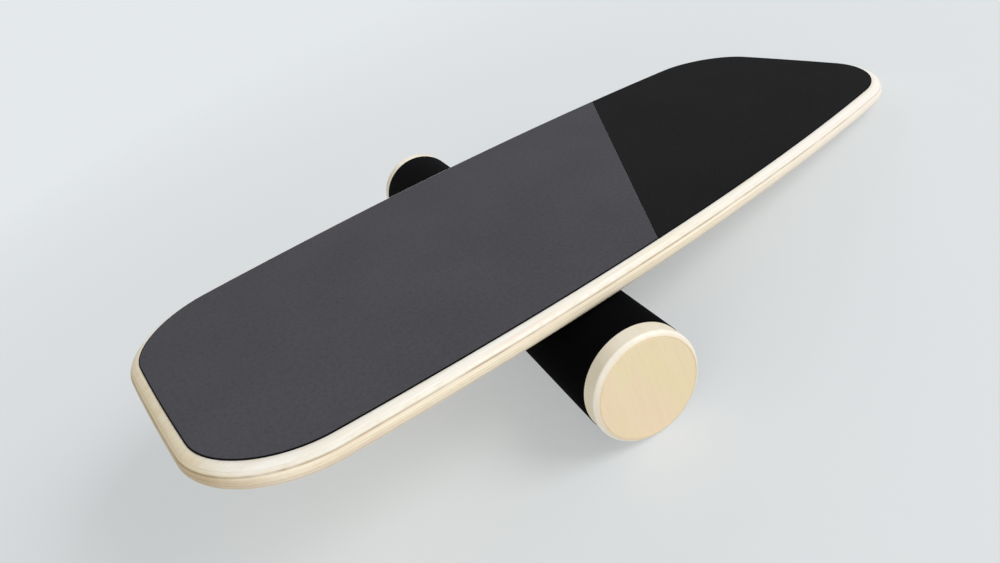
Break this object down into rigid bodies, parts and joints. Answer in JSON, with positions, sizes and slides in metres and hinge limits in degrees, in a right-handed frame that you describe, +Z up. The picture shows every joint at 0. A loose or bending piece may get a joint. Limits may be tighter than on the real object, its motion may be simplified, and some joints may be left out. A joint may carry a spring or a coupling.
{
  "type": "surf balance board",
  "caption": "Flat wooden balance deck with a two-tone grip top that rocks and travels on a loose cylindrical roller between stoppers bolted under it.",
  "frame": {"origin": "floor level, under the middle of the whole object's outline at rest", "axes": "+Z up; +Y along the roller, towards the board's far side; +X towards the end of the board that leans on the floor at rest, the end with the black grip sheet"},
  "size_m": [0.7402, 0.4426, 0.1582],
  "materials": {
    "deck_wood": "clear satin over pale birch ply",
    "stopper_wood": "clear satin",
    "grip_grey": "fine grit, dark grey",
    "grip_black": "fine grit, black",
    "insert_zinc": "zinc plated",
    "washer_zinc": "zinc plated",
    "bolt_black": "black oxide",
    "cover_black": "matte, fine texture",
    "tube_grey": "plain extruded tube",
    "cap_wood": "clear satin over turned pale wood"
  },
  "bodies": {
    "roller": {"roller_cover": "cover_black", "end_cap_near": "cap_wood", "end_cap_far": "cap_wood"},
    "tilt_core": {"roller_core_tube": "tube_grey"},
    "board": {"deck": "deck_wood", "grip_main": "grip_grey", "grip_nose": "grip_black", "insert_left_1_near": "insert_zinc", "insert_left_1_far": "insert_zinc", "insert_left_2_near": "insert_zinc", "insert_left_2_far": "insert_zinc", "insert_left_3_near": "insert_zinc", "insert_left_3_far": "insert_zinc", "insert_right_1_near": "insert_zinc", "insert_right_1_far": "insert_zinc", "insert_right_2_near": "insert_zinc", "insert_right_2_far": "insert_zinc", "insert_right_3_near": "insert_zinc", "insert_right_3_far": "insert_zinc", "stopper_left": "stopper_wood", "stopper_right": "stopper_wood", "stopper_washer_left_near": "washer_zinc", "stopper_washer_left_far": "washer_zinc", "stopper_washer_right_near": "washer_zinc", "stopper_washer_right_far": "washer_zinc", "stopper_bolt_left_near": "bolt_black", "stopper_bolt_left_far": "bolt_black", "stopper_bolt_right_near": "bolt_black", "stopper_bolt_right_far": "bolt_black"}
  },
  "joints": [
    {"name": "board_tilt", "type": "hinge", "parent": "roller", "child": "tilt_core", "pos_m": [-0.07067, 0, 0.0413], "axis": [0, -1, 0], "range_deg": [0, 26.3]},
    {"name": "board_travel", "type": "slide", "parent": "tilt_core", "child": "board", "axis": [0.9816, 0, -0.1907], "range_m": [-0.1626, 0.0381]}
  ]
}
